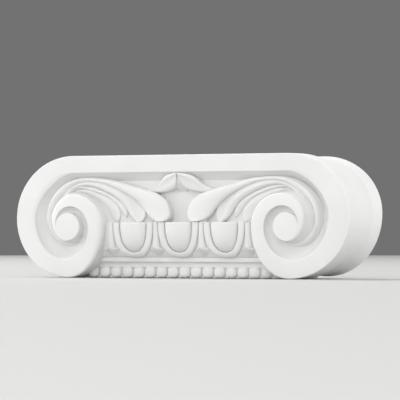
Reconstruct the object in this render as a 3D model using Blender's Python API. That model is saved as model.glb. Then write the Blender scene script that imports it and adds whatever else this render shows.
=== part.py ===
"""Ionic pilaster capital, moulded in one piece: two volutes joined by a flat band, acanthus half-leaves
springing from the coils, egg and dart below them and a row of beads where the pilaster's shaft begins.

Metres, +Z up. The face looks along -Y, the wall is at +Y, and the origin is under the middle of the block.
Carving is given in shares of the capital's height. Along the face a share is counted from a volute's eye
towards the middle, upright it is counted from the eye up, and forward it is counted from the band's face.
"""
import math

import bmesh
import bpy
import numpy as np

# Block
HEIGHT = 0.0930
WIDTH = 0.2900
DEPTH = 0.0560            # wall to the flat face of the band

# Band and the ground behind the leaves
BAND_HEIGHT = 0.0130
COVE_HEIGHT = 0.0060
COVE_UNDERCUT = 0.0009    # the hollow under the band reaches this far behind the ground
FIELD_DEPTH = 0.0080
LET_IN = 0.0010           # how deep a piece of carving is let into the ground behind it

# Volutes
VOLUTE_RISE = 0.0068
EYE_RADIUS = 0.0108

# Mouldings that run round the ends, from the face towards the wall: a plate, a groove, a nearly flat ring,
# a shallow valley and a flare. Insets are counted inwards from the plate's outline.
PLATE_THICKNESS = 0.0153
GROOVE_WIDTH = 0.0017
GROOVE_INSET = 0.0023
RING_WIDTH = 0.0168
RING_INSET = 0.0015
RING_EASE = 0.0001        # how much deeper the ring's two edges lie than its middle
VALLEY_PLACE = 0.0412     # depth behind the face at which the valley is lowest
VALLEY_INSET = 0.00225
WALL_INSET = 0.0014

# Egg and dart
ECHINUS_TOP = 0.0422      # above the underside
ECHINUS_HEIGHT = 0.0274
ECHINUS_PROUD = 0.0010    # top edge in front of the band's face
ECHINUS_RECESS = 0.0092   # how far its curve falls back on the way down
EGG_PITCH = 0.0397
EGG_WIDTH = 0.0230
EGG_HEIGHT = 0.0224
EGG_CROWN = 0.0042
RIM_RADIUS = 0.0025
RIM_GAP = 0.0005
DART_WIDTH = 0.0042
DART_PROUD = 0.0011
DART_HEAD_WIDTH = 0.0120
DART_HEAD_HEIGHT = 0.0074
DART_HEAD_PROUD = 0.0030  # its ridge before the ground at the top; it falls to the apex
DART_FOOT = 0.0003        # the apex above the foot of the echinus

# Mouldings below it
FILLET_HEIGHT = 0.0027
FILLET_STEP = 0.0010
BEAD_DIAMETER = 0.0088
BEAD_PITCH = 0.01008
BEAD_PROUD = 0.0011       # centre of the beads in front of the shaft's face
BEAD_SINK = 0.0004        # how far the beads run up into the hollow above them
BEAD_LIFT = 0.00002       # keeps the beads clear of the plane of the underside
HOLLOW_LEDGE = 0.0014     # the hollow's foot in front of the shaft
SHAFT_SETBACK = 0.0128    # face of the pilaster's shaft behind the band's face

# Where the band's edges turn, in shares of the height from the eye: top, outer side, bottom, inner side,
# and so on inwards. The curve between two turns is a quarter of an ellipse.
EYE_FROM_TOP = 0.584
OUTER_TURNS = ((0.011, 0.584), (-0.5392, 0.079), (-0.010, -0.416), (0.323, 0.005), (0.050, 0.269),
               (-0.164, 0.070), (-0.020, -0.117))
INNER_TURNS = ((0.011, 0.444), (-0.371, 0.090), (-0.049, -0.262), (0.199, -0.012), (0.030, 0.167),
               (-0.113, 0.033), (-0.010, -0.080))
# How far the first four outer turns have moved by the wall, as the ends lean outwards and up on the way back
WALL_LEAN = ((-0.023, 0.0), (0.0, 0.029), (-0.028, 0.0), (0.0, 0.0))
# How far the band has risen at those turns, in shares of the eye's rise
OUTER_RISE = (0.00, 0.03, 0.50, 0.96, 0.86, 0.88, 0.99)
INNER_RISE = (0.00, 0.20, 0.56, 0.96, 1.08, 1.03, 0.99)
# Width and floor of the hollow inside the band at those turns, in shares of the height
HOLLOW_WIDTH = (0.065, 0.118, 0.100, 0.078, 0.046, 0.020, 0.010)
HOLLOW_FLOOR = (-0.096, -0.070, -0.045, -0.020, -0.005, 0.030, 0.060)
HOLLOW_REACH = 0.055      # the hollow's floor runs in under the eye, this far from its centre
ARC_STEPS = 9

# Leaf lobes: the edge nearer the band, the edge nearer the coil, and the heights of edge and crown
LOBES = {
    "leaf main": (
        ((0.065, -0.139), (-0.015, -0.163), (-0.095, -0.161), (-0.216, -0.070), (-0.250, 0.060), (-0.229, 0.207),
         (-0.120, 0.320), (0.125, 0.393), (0.425, 0.364), (0.675, 0.304), (0.890, 0.222), (0.939, 0.127),
         (0.910, 0.065), (0.860, 0.051)),
        ((0.055, -0.118), (-0.015, -0.138), (-0.080, -0.135), (-0.180, -0.060), (-0.215, 0.065), (-0.190, 0.190),
         (-0.090, 0.300), (0.175, 0.360), (0.400, 0.325), (0.555, 0.263), (0.660, 0.190), (0.715, 0.115),
         (0.765, 0.072), (0.820, 0.050)),
        -0.030, 0.022),
    "leaf second": (
        ((-0.150, 0.180), (0.020, 0.330), (0.175, 0.365), (0.400, 0.330), (0.555, 0.268), (0.650, 0.200),
         (0.692, 0.140), (0.688, 0.075), (0.665, 0.050)),
        ((-0.130, 0.160), (0.030, 0.300), (0.180, 0.320), (0.310, 0.289), (0.410, 0.236), (0.490, 0.172),
         (0.550, 0.095), (0.600, 0.060), (0.645, 0.048)),
        -0.056, -0.018),
    "leaf third": (
        ((-0.160, 0.140), (0.030, 0.300), (0.180, 0.316), (0.310, 0.284), (0.405, 0.232), (0.475, 0.182),
         (0.518, 0.130), (0.522, 0.095), (0.505, 0.080)),
        ((-0.150, 0.125), (0.020, 0.275), (0.120, 0.296), (0.220, 0.274), (0.302, 0.233), (0.368, 0.183),
         (0.410, 0.140), (0.450, 0.095), (0.485, 0.079)),
        -0.064, -0.034),
    "leaf fourth": (
        ((0.000, 0.275), (0.120, 0.290), (0.220, 0.268), (0.302, 0.228), (0.366, 0.180), (0.405, 0.140),
         (0.428, 0.090), (0.430, 0.055), (0.420, 0.044)),
        ((0.000, 0.255), (0.100, 0.262), (0.180, 0.235), (0.240, 0.195), (0.290, 0.150), (0.320, 0.110),
         (0.345, 0.075), (0.375, 0.050), (0.405, 0.042)),
        -0.068, -0.044),
    "bract": (
        ((0.735, 0.303), (0.767, 0.329), (0.830, 0.368), (0.862, 0.396), (0.907, 0.415), (0.965, 0.429),
         (1.012, 0.437), (1.020, 0.434)),
        ((0.770, 0.262), (0.829, 0.277), (0.889, 0.284), (0.925, 0.296), (0.965, 0.312), (0.995, 0.335),
         (1.008, 0.375), (1.016, 0.405)),
        -0.040, 0.012),
}
# The part of a leaf that hugs its coil keeps its size when the capital is made wider; the rest stretches
LEAF_HUGS = 0.30
LEAF_MIDDLE = 1.016
LOBE_STEPS = 2            # cross sections to each length between two of those points
# Where the row under the coils ends, in shares of the height from the eye towards the middle
FILLET_END = 0.17
BEADS_END = 0.10
SHAFT_END = 0.06

FRONT_Y = (VOLUTE_RISE * max(INNER_RISE) - DEPTH) / 2
WALL_Y = FRONT_Y + DEPTH
EYE_X = WIDTH / 2 + OUTER_TURNS[1][0] * HEIGHT
EYE_Z = HEIGHT * (1 - EYE_FROM_TOP)
# The egg and dart runs into the coils and ends inside their bands
ECHINUS_HALF = EYE_X - (OUTER_TURNS[3][0] + INNER_TURNS[3][0]) / 2 * HEIGHT


def clear_scene():
    """Remove whatever the opened file holds."""
    for obj in list(bpy.data.objects):
        bpy.data.objects.remove(obj, do_unlink=True)


def collection(name):
    """A new collection under the scene."""
    made = bpy.data.collections.new(name)
    bpy.context.scene.collection.children.link(made)
    return made


def add_object(name, shape, owner):
    """Turn a finished bmesh into an object whose faces point outwards."""
    bmesh.ops.recalc_face_normals(shape, faces=shape.faces)
    mesh = bpy.data.meshes.new(name)
    shape.to_mesh(mesh)
    shape.free()
    made = bpy.data.objects.new(name, mesh)
    owner.objects.link(made)
    return made


def loft(name, sections, owner):
    """A closed solid through sections that all have the same number of points, with flat ends."""
    shape = bmesh.new()
    rings = [[shape.verts.new(point) for point in section] for section in sections]
    count = len(sections[0])
    for near, far in zip(rings, rings[1:]):
        for i in range(count):
            j = (i + 1) % count
            shape.faces.new((near[i], near[j], far[j], far[i]))
    shape.faces.new(rings[0])
    shape.faces.new(reversed(rings[-1]))
    return add_object(name, shape, owner)


def box(name, low, high, owner):
    """A box between two corners."""
    shape = bmesh.new()
    bmesh.ops.create_cube(shape, size=1.0)
    for vert in shape.verts:
        vert.co = [a + (b - a) * (c + 0.5) for a, b, c in zip(low, high, vert.co)]
    return add_object(name, shape, owner)


def smooth_points(points, count):
    """Points spaced evenly by share of the way along a Catmull-Rom curve through the given ones."""
    knots = np.asarray(points, dtype=float)
    padded = np.vstack((2 * knots[0] - knots[1], knots, 2 * knots[-1] - knots[-2]))
    result = []
    for place in np.linspace(0, len(knots) - 1, count):
        i = min(int(place), len(knots) - 2)
        t = place - i
        a, b, c, d = padded[i:i + 4]
        result.append(0.5 * (2 * b + (c - a) * t + (2 * a - 5 * b + 4 * c - d) * t * t
                             + (3 * b - a - 3 * c + d) * t ** 3))
    return np.array(result)


def stretched(towards_middle):
    """Where a leaf's share along the face lies once the leaf fills the real way to the middle."""
    if towards_middle <= LEAF_HUGS:
        return towards_middle * HEIGHT
    free_way = EYE_X - LEAF_HUGS * HEIGHT
    return LEAF_HUGS * HEIGHT + (towards_middle - LEAF_HUGS) / (LEAF_MIDDLE - LEAF_HUGS) * free_way


def carved_point(side, towards_middle, up, forward):
    """World place of a point of a leaf."""
    return (side * (EYE_X - stretched(towards_middle)), FRONT_Y - forward * HEIGHT, EYE_Z + up * HEIGHT)


def turn_path(turns):
    """Quarter ellipses through the places where an edge turns, as real sizes from the eye."""
    points = [turns[0]]
    for i, (start, end) in enumerate(zip(turns, turns[1:])):
        for step in range(1, ARC_STEPS + 1):
            angle = math.pi / 2 * step / ARC_STEPS
            if i % 2 == 0:
                along = start[0] + (end[0] - start[0]) * math.sin(angle)
                up = end[1] + (start[1] - end[1]) * math.cos(angle)
            else:
                along = end[0] + (start[0] - end[0]) * math.cos(angle)
                up = start[1] + (end[1] - start[1]) * math.sin(angle)
            points.append((along, up))
    return np.array(points) * HEIGHT


def along_turns(values):
    """A value given at the turns, read at every point of a turn path."""
    count = (len(values) - 1) * ARC_STEPS + 1
    return np.interp(np.arange(count) / ARC_STEPS, np.arange(len(values)), values)


def inner_turns():
    """Turns of the band's inner edge; the first lies one band height under the top."""
    return ((INNER_TURNS[0][0], EYE_FROM_TOP - BAND_HEIGHT / HEIGHT),) + INNER_TURNS[1:]


def band_sections(side):
    """Cross sections of the band and the hollow inside it, from the top tangent to the eye."""
    outer = turn_path(OUTER_TURNS)
    inner = turn_path(inner_turns())
    outer_front = along_turns(OUTER_RISE) * VOLUTE_RISE
    inner_front = along_turns(INNER_RISE) * VOLUTE_RISE
    hollow = along_turns((COVE_HEIGHT / HEIGHT,) + HOLLOW_WIDTH[1:]) * HEIGHT
    floor = along_turns((-(FIELD_DEPTH + COVE_UNDERCUT) / HEIGHT,) + HOLLOW_FLOOR[1:]) * HEIGHT
    sections = []
    for place in range(len(outer)):
        inward = inner[place] - outer[place]
        inward /= np.linalg.norm(inward)
        heart = inner[place] * (HOLLOW_REACH * HEIGHT / np.linalg.norm(inner[place]))
        drop = inner_front[place] - floor[place]
        outline = [(outer[place], -PLATE_THICKNESS), (outer[place], outer_front[place]),
                   (inner[place], inner_front[place])]
        for share in (0.12, 0.35, 0.65, 1.0):
            away = 1 - math.sqrt(1 - (1 - share) ** 2)
            outline.append((inner[place] + inward * hollow[place] * share, floor[place] + drop * away))
        outline += [(heart, floor[place]), (heart, -PLATE_THICKNESS)]
        sections.append([(side * (EYE_X - spot[0]), FRONT_Y - front, EYE_Z + spot[1])
                         for spot, front in outline])
    return sections


def inset_outline(inset, depth):
    """Outline of the capital a given depth behind its face, moved inwards; its lower middle is open."""
    lean = max(0.0, (depth - PLATE_THICKNESS) / (DEPTH - PLATE_THICKNESS))
    path = turn_path([(along + out * lean, up + lift * lean)
                      for (along, up), (out, lift) in zip(OUTER_TURNS, WALL_LEAN)])
    right = np.column_stack((EYE_X - path[:, 0], EYE_Z + path[:, 1]))
    ahead = np.gradient(right, axis=0)
    ahead /= np.linalg.norm(ahead, axis=1)[:, None]
    right = right + np.column_stack((ahead[:, 1], -ahead[:, 0])) * inset
    left = right[::-1] * (-1, 1)
    return np.vstack((right, left))


def end_moulding():
    """Inset and depth behind the face of the mouldings round the ends, from the ground to the wall."""
    ring_start = PLATE_THICKNESS + GROOVE_WIDTH
    ring_end = ring_start + RING_WIDTH
    profile = [(GROOVE_INSET, FIELD_DEPTH), (GROOVE_INSET, ring_start)]
    for share in np.linspace(0, 1, 3):
        profile.append((RING_INSET + RING_EASE * (2 * share - 1) ** 2,
                        ring_start + RING_EASE + (RING_WIDTH - RING_EASE) * share))
    for start, end in (((RING_INSET + RING_EASE, ring_end), (VALLEY_INSET, VALLEY_PLACE)),
                       ((VALLEY_INSET, VALLEY_PLACE), (WALL_INSET, DEPTH))):
        for share in np.linspace(0, 1, 4)[1:]:
            ease = (1 - math.cos(math.pi * share)) / 2
            profile.append((start[0] + (end[0] - start[0]) * ease, start[1] + (end[1] - start[1]) * share))
    return profile


def ovolo_front(drop):
    """How far forward of the band's face the egg and dart's ground stands, a given way below its top."""
    share = min(drop / ECHINUS_HEIGHT, 1.0)
    return ECHINUS_PROUD - ECHINUS_RECESS * (1 - math.sqrt(1 - share * share))


def run_along(name, profile, half_length, owner):
    """A moulding of one profile, given as pairs of forward and height, run along the face."""
    ends = [[(x, FRONT_Y - forward, up) for forward, up in profile] for x in (-half_length, half_length)]
    return loft(name, ends, owner)


def lower_mouldings(owner):
    """Ground of the egg and dart, the fillet and hollow under it, and the head of the shaft."""
    ground = [(ovolo_front(ECHINUS_HEIGHT * math.sin(a)), ECHINUS_TOP - ECHINUS_HEIGHT * math.sin(a))
              for a in np.linspace(0, math.pi / 2, 9)]
    bottom = ECHINUS_TOP - ECHINUS_HEIGHT
    back = -SHAFT_SETBACK - 2 * LET_IN
    run_along("echinus", ground + [(back, bottom), (back, ECHINUS_TOP)], ECHINUS_HALF, owner)
    fillet_front = ovolo_front(ECHINUS_HEIGHT) - FILLET_STEP
    fillet_foot = bottom - FILLET_HEIGHT
    hollow_foot = BEAD_DIAMETER - BEAD_SINK
    hollow_back = -SHAFT_SETBACK + HOLLOW_LEDGE
    profile = [(fillet_front, bottom + LET_IN), (fillet_front, fillet_foot)]
    for angle in np.linspace(0, math.pi / 2, 5):
        away = fillet_front - hollow_back
        profile.append((hollow_back + away * (1 - math.sin(angle)),
                        hollow_foot + (fillet_foot - hollow_foot) * math.cos(angle)))
    profile += [(back - LET_IN, hollow_foot), (back - LET_IN, bottom + LET_IN)]
    run_along("fillet and hollow", profile, EYE_X - FILLET_END * HEIGHT, owner)
    half_shaft = EYE_X - SHAFT_END * HEIGHT
    box("shaft head", (-half_shaft, FRONT_Y + SHAFT_SETBACK, 0), (half_shaft, WALL_Y, ECHINUS_TOP), owner)


def beads(owner):
    """Row of beads let halfway into the head of the shaft."""
    each_side = int((EYE_X - BEADS_END * HEIGHT) / BEAD_PITCH)
    for i in range(-each_side, each_side + 1):
        shape = bmesh.new()
        bmesh.ops.create_uvsphere(shape, u_segments=10, v_segments=6, radius=BEAD_DIAMETER / 2)
        spot = (i * BEAD_PITCH, FRONT_Y + SHAFT_SETBACK - BEAD_PROUD, BEAD_DIAMETER / 2 + BEAD_LIFT)
        bmesh.ops.translate(shape, verts=shape.verts, vec=spot)
        add_object("bead", shape, owner)


def egg(middle, owner):
    """An egg with a flat top, swelling out of the echinus."""
    shape = bmesh.new()
    bmesh.ops.create_uvsphere(shape, u_segments=16, v_segments=12, radius=1.0)
    bmesh.ops.bisect_plane(shape, geom=shape.verts[:] + shape.edges[:] + shape.faces[:], plane_co=(0, 0, 0),
                           plane_no=(0, 0, 1), clear_outer=True)
    bmesh.ops.holes_fill(shape, edges=[edge for edge in shape.edges if edge.is_boundary])
    for vert in shape.verts:
        down = -vert.co.z
        fuller = 1 + 0.28 * down * down * (1 - down)
        ground = ovolo_front(down * EGG_HEIGHT) - LET_IN
        vert.co = (middle + vert.co.x * fuller * EGG_WIDTH / 2,
                   FRONT_Y - ground + vert.co.y * (EGG_CROWN + LET_IN),
                   ECHINUS_TOP - down * EGG_HEIGHT)
    add_object("egg", shape, owner)


def tube(name, points, radius, owner):
    """A round bar along points, closed at both ends."""
    curve = bpy.data.curves.new(name, "CURVE")
    curve.dimensions = "3D"
    curve.bevel_depth = radius
    curve.bevel_resolution = 1
    curve.use_fill_caps = True
    spline = curve.splines.new("POLY")
    spline.points.add(len(points) - 1)
    for target, point in zip(spline.points, points):
        target.co = (*point, 1.0)
    guide = bpy.data.objects.new(name, curve)
    owner.objects.link(guide)
    mesh = bpy.data.meshes.new_from_object(guide.evaluated_get(bpy.context.evaluated_depsgraph_get()))
    bpy.data.objects.remove(guide, do_unlink=True)
    shape = bmesh.new()
    shape.from_mesh(mesh)
    bmesh.ops.remove_doubles(shape, verts=shape.verts, dist=RIM_RADIUS / 1000)
    return add_object(name, shape, owner)


def rim(middle, owner):
    """The raised rim that runs down one side of an egg, under it and up the other."""
    half = EGG_WIDTH / 2 + RIM_GAP + RIM_RADIUS
    low = EGG_HEIGHT + RIM_GAP + RIM_RADIUS * 0.9
    points = []
    for angle in np.linspace(0, math.pi, 15):
        down = low * math.sin(angle) ** 0.85
        across = middle + half * math.copysign(abs(math.cos(angle)) ** 0.85, math.cos(angle))
        points.append((across, FRONT_Y - ovolo_front(down) + RIM_RADIUS * 0.35,
                       ECHINUS_TOP - RIM_RADIUS * 0.2 - down))
    tube("egg rim", points, RIM_RADIUS, owner)


def dart(middle, owner):
    """A dart between two eggs: a straight shaft and a ridged arrowhead with its apex down."""
    head_top = ECHINUS_HEIGHT - DART_HEAD_HEIGHT - DART_FOOT
    sections = []
    for drop in np.linspace(0, head_top + LET_IN, 5):
        half = DART_WIDTH / 2
        front = FRONT_Y - ovolo_front(drop) - DART_PROUD
        back = front + DART_PROUD + 2 * LET_IN
        sections.append([(middle - half, back, ECHINUS_TOP - drop), (middle - half * 0.6, front, ECHINUS_TOP - drop),
                         (middle + half * 0.6, front, ECHINUS_TOP - drop), (middle + half, back, ECHINUS_TOP - drop)])
    loft("dart shaft", sections, owner)
    sections = []
    for share, wide in ((0.0, 0.36), (0.24, 1.0), (0.62, 0.52), (1.0, 0.03)):
        drop = head_top + DART_HEAD_HEIGHT * share
        reach = DART_HEAD_WIDTH / 2 * wide
        front = FRONT_Y - ovolo_front(drop)
        ridge = front - DART_HEAD_PROUD * (1 - share) - LET_IN * share
        sections.append([(x, y, ECHINUS_TOP - drop) for x, y in (
            (middle - reach, front + LET_IN), (middle, ridge), (middle + reach, front + LET_IN),
            (middle, front + 3 * LET_IN))])
    loft("dart head", sections, owner)


def lobe(name, side, owner):
    """One lobe of a leaf: a low arch between its two edges, let into the ground behind it."""
    near_band, near_coil, edge, crown = LOBES[name]
    last = (len(near_band) - 1) * LOBE_STEPS
    first = smooth_points(near_band, last + 1)
    second = smooth_points(near_coil, last + 1)
    back = -(FIELD_DEPTH + LET_IN) / HEIGHT
    sections = []
    for place, (a, b) in enumerate(zip(first, second)):
        tip = min(1.0, 4 * (1 - place / last) + 0.25)
        root = min(1.0, 6 * place / last + 0.35)
        swell = math.sqrt(tip) * root
        section = [carved_point(side, *a, back)]
        for share in (0.0, 0.16, 0.42, 0.7, 1.0):
            spot = a + (b - a) * share
            height = edge + (crown - edge) * swell * math.sin(math.pi * (0.08 + 0.84 * share))
            section.append(carved_point(side, *spot, height))
        section.append(carved_point(side, *b, back))
        sections.append(section)
    loft(name, sections, owner)


def eye(side, owner):
    """The flat disc at the heart of a volute."""
    shape = bmesh.new()
    bmesh.ops.create_cone(shape, cap_ends=True, segments=32, radius1=EYE_RADIUS, radius2=EYE_RADIUS, depth=1.0)
    length = VOLUTE_RISE + FIELD_DEPTH + 2 * LET_IN
    for vert in shape.verts:
        vert.co = (side * EYE_X + vert.co.x, FRONT_Y - VOLUTE_RISE + (vert.co.z + 0.5) * length,
                   EYE_Z + vert.co.y)
    add_object("eye", shape, owner)


def carving(owner):
    """Everything that is joined to the block."""
    loft("band", band_sections(-1)[::-1] + band_sections(1), owner)
    lower_mouldings(owner)
    beads(owner)
    each_side = int(ECHINUS_HALF / EGG_PITCH) + 1
    for i in range(-each_side, each_side + 1):
        if abs(i) * EGG_PITCH + EGG_WIDTH / 2 < ECHINUS_HALF:
            egg(i * EGG_PITCH, owner)
            rim(i * EGG_PITCH, owner)
        if abs(i + 0.5) * EGG_PITCH + DART_WIDTH < ECHINUS_HALF:
            dart((i + 0.5) * EGG_PITCH, owner)
    for side in (-1, 1):
        eye(side, owner)
        for name in LOBES:
            lobe(name, side, owner)


def plaster_white():
    """Matt white factory primer on moulded polyurethane."""
    paint = bpy.data.materials.new("matt white primer")
    paint.use_nodes = True
    shader = paint.node_tree.nodes["Principled BSDF"]
    shader.inputs["Base Color"].default_value = (0.83, 0.83, 0.82, 1.0)
    shader.inputs["Roughness"].default_value = 0.62
    shader.inputs["Metallic"].default_value = 0.0
    return paint


def main():
    """Build the capital."""
    clear_scene()
    model = collection("ionic_pilaster_capital")
    joined = collection("joined_carving")
    block = [[(x, FRONT_Y + depth, z) for x, z in inset_outline(inset, depth)]
             for inset, depth in end_moulding()]
    capital = loft("capital", block, model)
    carving(joined)
    for piece in joined.objects:
        piece.hide_render = True
        piece.display_type = "WIRE"
    union = capital.modifiers.new("join the carving", "BOOLEAN")
    union.operation = "UNION"
    union.solver = "EXACT"
    union.operand_type = "COLLECTION"
    union.collection = joined
    capital.data.materials.append(plaster_white())
    capital.data.shade_smooth()
    capital.data.set_sharp_from_angle(angle=math.radians(35))


main()
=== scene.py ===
"""Ionic pilaster capital, moulded in one piece and sprayed with a matt white primer.

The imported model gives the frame, its box and its one node. Here the carving of that node is made again
at full fineness: rounded edges, strands and tongues of the acanthus half-leaves, eggs with their rims and
darts, beads and the mouldings round the ends. The camera and the soft studio light come last.

Metres, +Z up. The face looks along -Y and the wall is at +Y. Carving is given in shares of the capital's
height: along the face from a volute's eye towards the middle, upright from the eye up, and forward from
the flat face of the band.
"""

import logging
import math
from dataclasses import dataclass
from enum import Enum
from typing import Iterable, Protocol, Sequence

import bpy
import numpy as np
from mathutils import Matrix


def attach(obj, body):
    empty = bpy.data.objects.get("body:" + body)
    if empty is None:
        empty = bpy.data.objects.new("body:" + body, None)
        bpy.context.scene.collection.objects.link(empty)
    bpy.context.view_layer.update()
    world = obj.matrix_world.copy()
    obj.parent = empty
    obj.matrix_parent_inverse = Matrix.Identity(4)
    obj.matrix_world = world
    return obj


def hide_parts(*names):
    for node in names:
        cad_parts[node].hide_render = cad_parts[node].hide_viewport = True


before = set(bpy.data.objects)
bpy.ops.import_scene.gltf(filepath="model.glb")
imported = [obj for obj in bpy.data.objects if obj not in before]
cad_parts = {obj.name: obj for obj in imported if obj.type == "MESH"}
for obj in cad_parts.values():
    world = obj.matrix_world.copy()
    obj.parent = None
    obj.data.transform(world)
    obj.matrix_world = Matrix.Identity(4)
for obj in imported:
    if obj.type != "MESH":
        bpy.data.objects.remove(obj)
log = logging.getLogger("capital")

Pair = tuple[float, float]
Solid = bpy.types.Object

MOST_ROUND = 0.3                   # largest radius of an edge, in shares of the width that it rounds off


class Side(Enum):
    """The two mirrored halves of the capital, as signs of X."""

    LEFT = -1
    RIGHT = 1


@dataclass(frozen=True)
class Block:
    """Main sizes of the capital and the places that follow from them."""

    height: float = 0.0930
    width: float = 0.2900
    depth: float = 0.0560          # wall to the flat face of the band
    band_height: float = 0.0130
    cove_height: float = 0.0064    # the hollow under the band, where it runs level
    field_depth: float = 0.0080    # the ground behind the leaves, behind the band's face
    let_in: float = 0.0010         # how deep carving is let into what lies behind it
    rise: float = 0.0068           # front of the eyes before the band
    eye_radius: float = 0.0108
    eye_from_top: float = 0.584
    plate: float = 0.0153          # thickness of the part that carries the band and the volutes
    top_rise: float = 1.08         # the coil's highest part, in shares of the eye's rise

    @property
    def front_y(self) -> float:
        """The plane of the band's flat face, with the whole capital centred on the origin."""
        return (self.rise * self.top_rise - self.depth) / 2

    @property
    def eye_z(self) -> float:
        """Height of the eyes above the underside."""
        return self.height * (1 - self.eye_from_top)


def smooth(points: Sequence[Sequence[float]], count: int) -> np.ndarray:
    """Read a soft curve that passes through every given point.

    Args:
        points: the points or rows of values to pass through.
        count: how many places to read, spaced evenly from point to point.

    Returns:
        One row of values for each place.
    """
    knots = np.asarray(points, dtype=float)
    if knots.ndim == 1:
        knots = knots[:, None]
    padded = np.vstack((2 * knots[0] - knots[1], knots, 2 * knots[-1] - knots[-2]))
    place = np.linspace(0, len(knots) - 1, count)
    start = np.minimum(place.astype(int), len(knots) - 2)
    t = (place - start)[:, None]
    a, b, c, d = (padded[start + i] for i in range(4))
    bend, twist = 2 * a - 5 * b + 4 * c - d, 3 * b - a - 3 * c + d
    return 0.5 * (2 * b + (c - a) * t + bend * t * t + twist * t ** 3)


def keep(name: str, points: np.ndarray, faces: Iterable[Sequence[int]]) -> Solid:
    """Make a mesh object and link it to the scene.

    Args:
        name: name of the object and its mesh.
        points: corner places, one row each.
        faces: corner numbers of each face.

    Returns:
        The linked object.
    """
    mesh = bpy.data.meshes.new(name)
    mesh.from_pydata(np.asarray(points, dtype=float).tolist(), [], [tuple(face) for face in faces])
    mesh.validate()
    made = bpy.data.objects.new(name, mesh)
    bpy.context.scene.collection.objects.link(made)
    return made


def loft(name: str, sections: np.ndarray) -> Solid:
    """Close a solid through sections of equal count, with its faces outwards.

    Args:
        name: name of the object.
        sections: array of sections, each a closed ring of points.

    Returns:
        The closed solid.
    """
    rings = np.asarray(sections, dtype=float)
    many, count = rings.shape[:2]
    near = np.arange(count)
    far = np.roll(near, -1)
    faces: list[Sequence[int]] = []
    for ring in range(many - 1):
        low, high = ring * count, (ring + 1) * count
        faces += np.column_stack((low + near, low + far, high + far, high + near)).tolist()
    faces += [near[::-1].tolist(), (near + (many - 1) * count).tolist()]
    made = keep(name, rings.reshape(-1, 3), faces)
    if signed_volume(made) < 0:
        made.data.flip_normals()
    return made


def signed_volume(solid: Solid) -> float:
    """Volume of a closed mesh, negative where its faces point inwards.

    Args:
        solid: a closed mesh object.

    Returns:
        The volume in cubic metres.
    """
    mesh = solid.data
    mesh.calc_loop_triangles()
    places = np.empty(len(mesh.vertices) * 3)
    mesh.vertices.foreach_get("co", places)
    corners = np.empty(len(mesh.loop_triangles) * 3, dtype=np.int32)
    mesh.loop_triangles.foreach_get("vertices", corners)
    tri = places.reshape(-1, 3)[corners].reshape(-1, 3, 3)
    return float(np.einsum("ij,ij->i", tri[:, 0], np.cross(tri[:, 1], tri[:, 2])).sum() / 6)


def arc(count: int) -> np.ndarray:
    """Angles of a quarter turn in equal steps, both ends included."""
    return np.linspace(0, math.pi / 2, count)


def quarter_round(cuts: int) -> list[Pair]:
    """Ways in and down from a corner that is rounded off, in radii, from the side round to the face."""
    return [(1 - math.cos(angle), 1 - math.sin(angle)) for angle in arc(cuts + 1)]


def headings(line: np.ndarray) -> np.ndarray:
    """Unit directions along a line of points."""
    ahead = np.gradient(line, axis=0)
    return ahead / np.linalg.norm(ahead, axis=1)[:, None]


def squared(value: float, power: float) -> float:
    """Raise a sine or cosine to a power with its sign kept; below 1 it makes a round section squarer."""
    return math.copysign(abs(value) ** power, value)


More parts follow.
